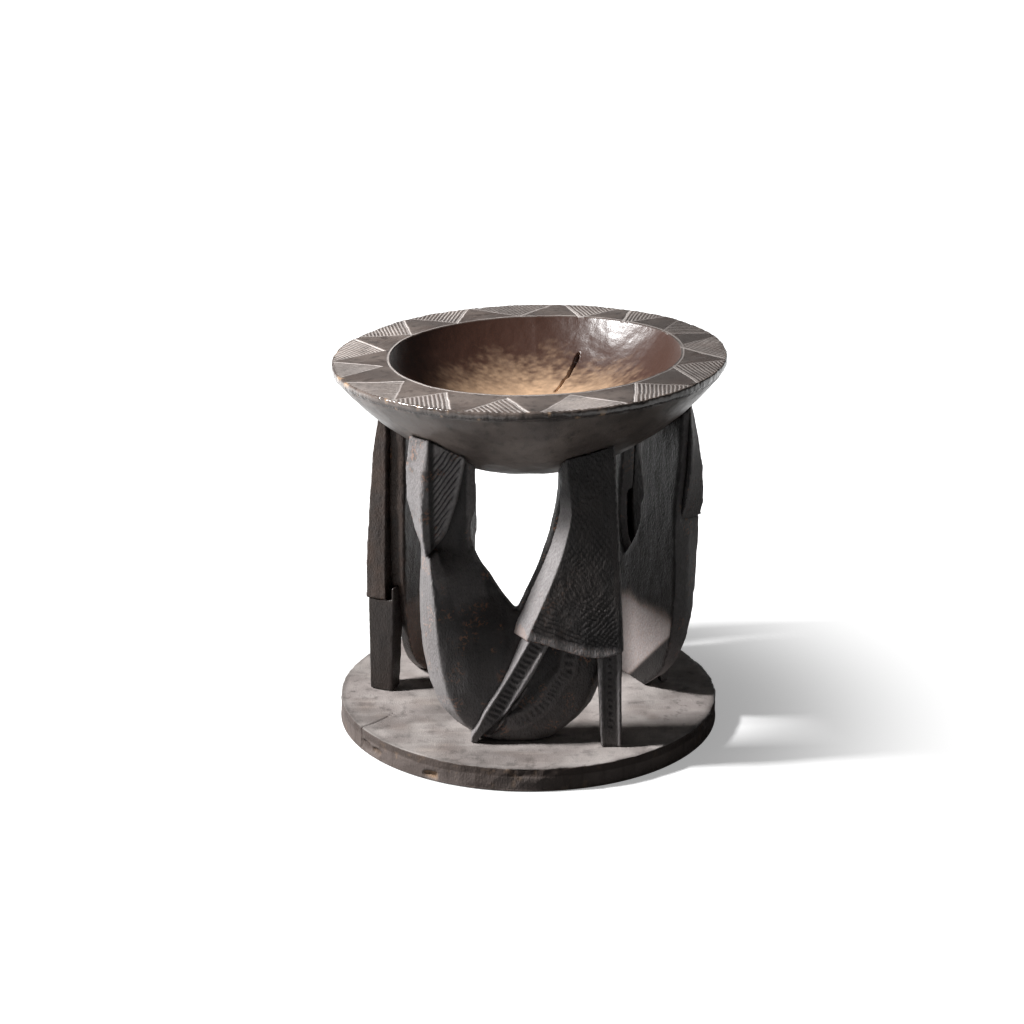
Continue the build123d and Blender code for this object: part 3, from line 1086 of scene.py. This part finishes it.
def make_bird(bird, angle, place):
    """One bird: each of its pieces is remeshed, swollen by a hair to close onto its neighbours, and cut."""
    for name, voxel, smoothing, carve in bird_pieces:
        node = f"{bird}_{name}"
        points, edges, faces = remeshed(node, voxel, smoothing)
        local = shape_piece(name, bird, to_bird(points, angle, place), edges, faces)
        facing = bird_normals(local, faces)
        depth, marks = carve(local, facing)
        if bird == "left":
            darken_left(name, points, marks)
        lumps = 0.22 * rough_noise(points, 8.0, 51) + 0.06 * rough_noise(points, 1.6, 52, 2)
        moved = from_bird(local + facing * (swell + lumps - depth)[:, None], angle, place)
        moved[:, 2] = np.maximum(moved[:, 2], base_top - sunk_in_base)
        add_mesh(f"{bird}_{name}_carving", moved, faces, marks, bird_wood, [node])


# Studio, in metres: a white floor, a white surround that lights the object from behind, and one lamp

# The floor's glow rises from floor_glow to white over shade_reach from the middle, which keeps the shadow
# near the object. Its bounce is how much light it gives back left and right of bounce_turn.
floor_half = 4.0
floor_roughness = 0.9
floor_white = 0.82
floor_glow = 0.34
shade_reach = (0.085, 0.208)
floor_bounce = (0.80, 0.11)
bounce_turn = (-0.16, 0.0)

# How brightly the floor glows in reflections, behind mirror_turn and right of right_turn, and how much
# darker its own colour is in them
mirrored_floor = 1.0
mirror_turn = (0.05, 0.30)
mirrored_right = 0.5
right_turn = (0.10, 0.35)
mirror_dimming = 0.3

# The surround's light from the front and from behind, where it turns from one to the other, and how
# bright and from what height on it is in reflections
front_level = 0.03
back_level = 0.12
back_turn = (-0.2, 0.7)
mirrored_back_level = 1.0
mirrored_height = (0.22, 0.02)

# The lamp, from the left and above
key_angle = -81
key_height = 41
key_distance = 1.5
key_size = (0.16, 0.20)
key_level = 1.35
aim_height = 0.09


def make_floor():
    """The floor glows white to the camera away from the object and keeps the shadow close to it."""
    corners = [(x * floor_half, y * floor_half, 0) for x, y in ((-1, -1), (1, -1), (1, 1), (-1, 1))]
    mesh = bpy.data.meshes.new("floor")
    mesh.from_pydata(corners, [], [(0, 1, 2, 3)])
    floor = bpy.data.objects.new("floor", mesh)
    bpy.context.scene.collection.objects.link(floor)
    material = bpy.data.materials.new("floor")
    material.use_nodes = True
    tree = NodeTree(material.node_tree)
    shader = tree.nodes["Principled BSDF"]
    shader.inputs["Roughness"].default_value = floor_roughness
    shader.inputs["Emission Color"].default_value = (1, 1, 1, 1)
    place = tree.add("ShaderNodeNewGeometry")
    distance = tree.add("ShaderNodeVectorMath", operation="LENGTH")
    tree.links.new(place.outputs["Position"], distance.inputs[0])
    split = tree.add("ShaderNodeSeparateXYZ")
    tree.links.new(place.outputs["Position"], split.inputs["Vector"])
    path = tree.add("ShaderNodeLightPath")
    in_camera, in_mirror = path.outputs["Is Camera Ray"], path.outputs["Is Glossy Ray"]

    glow = tree.step(distance.outputs["Value"], *shade_reach, floor_glow, 1.0)
    behind = tree.step(split.outputs["Y"], *mirror_turn, 0.0, mirrored_floor)
    right = tree.step(split.outputs["X"], *right_turn, 0.0, mirrored_right)
    mirrored = tree.math("MULTIPLY", in_mirror, tree.math("MAXIMUM", behind, right))
    seen = tree.math("MAXIMUM", in_camera, mirrored)
    tree.links.new(tree.math("MULTIPLY", glow, seen), shader.inputs["Emission Strength"])

    bounce = tree.step(split.outputs["X"], *bounce_turn, *floor_bounce)
    matt = tree.math("SUBTRACT", 1.0, tree.math("MULTIPLY", in_mirror, mirror_dimming))
    bounce = tree.math("MULTIPLY", bounce, matt)
    shown = tree.math("MULTIPLY", seen, floor_white)
    tree.links.new(tree.math("MAXIMUM", bounce, shown), shader.inputs["Base Color"])
    mesh.materials.append(material)


def make_world():
    """White to the camera. Its light comes from behind, and mirrored edges show the white that is there."""
    world = bpy.data.worlds.new("studio")
    bpy.context.scene.world = world
    world.use_nodes = True
    tree = NodeTree(world.node_tree)
    background = tree.nodes["Background"]
    background.inputs["Color"].default_value = (1, 1, 1, 1)
    path = tree.add("ShaderNodeLightPath")
    in_camera, in_mirror = path.outputs["Is Camera Ray"], path.outputs["Is Glossy Ray"]
    way = tree.add("ShaderNodeTexCoord")
    split = tree.add("ShaderNodeSeparateXYZ")
    tree.links.new(way.outputs["Generated"], split.inputs["Vector"])

    behind = tree.step(split.outputs["Y"], *back_turn)
    most = tree.step(in_mirror, 0.0, 1.0, back_level, mirrored_back_level)
    low = tree.step(split.outputs["Z"], *mirrored_height)
    low = tree.math("MAXIMUM", low, tree.math("SUBTRACT", 1.0, in_mirror))
    level = tree.math("MULTIPLY", tree.math("MULTIPLY", behind, low), most)
    level = tree.math("MAXIMUM", level, front_level)
    level = tree.math("MAXIMUM", level, in_camera)
    tree.links.new(level, background.inputs["Strength"])


def make_lamp():
    """A rectangular lamp aimed at the middle of the object, at an angle from the front and a height angle.
    At level 1 a white surface that faces it turns out white."""
    data = bpy.data.lights.new("key", "AREA")
    data.shape = "RECTANGLE"
    data.size, data.size_y = key_size
    data.energy = key_level * 4 * math.pi * key_distance**2
    lamp = bpy.data.objects.new("key", data)
    turn, rise = math.radians(key_angle), math.radians(key_height)
    away = Vector((math.sin(turn) * math.cos(rise), -math.cos(turn) * math.cos(rise), math.sin(rise)))
    lamp.location = Vector((0, 0, aim_height)) + away * key_distance
    lamp.rotation_euler = away.to_track_quat("Z", "Y").to_euler()
    bpy.context.scene.collection.objects.link(lamp)


# Camera, from the photo's perspective
camera_distance = 1006.8
camera_height = 452.3
camera_pitch = 19.553
camera_turn = 0.416
camera_lens = 85.63
camera_sensor = 36


def make_camera():
    """The camera, at the height and distance that the photo was taken from."""
    data = bpy.data.cameras.new("camera")
    data.lens = camera_lens
    data.sensor_width = camera_sensor
    camera = bpy.data.objects.new("camera", data)
    camera.location = (0, -camera_distance * MM, camera_height * MM)
    camera.rotation_euler = Euler((math.radians(90 - camera_pitch), 0, math.radians(camera_turn)))
    bpy.context.scene.collection.objects.link(camera)
    bpy.context.scene.camera = camera


make_bowl()
make_base()
for bird, angle, place in birds:
    make_bird(bird, angle, place)
make_floor()
make_world()
make_lamp()
make_camera()
bpy.context.scene.view_settings.view_transform = "Standard"
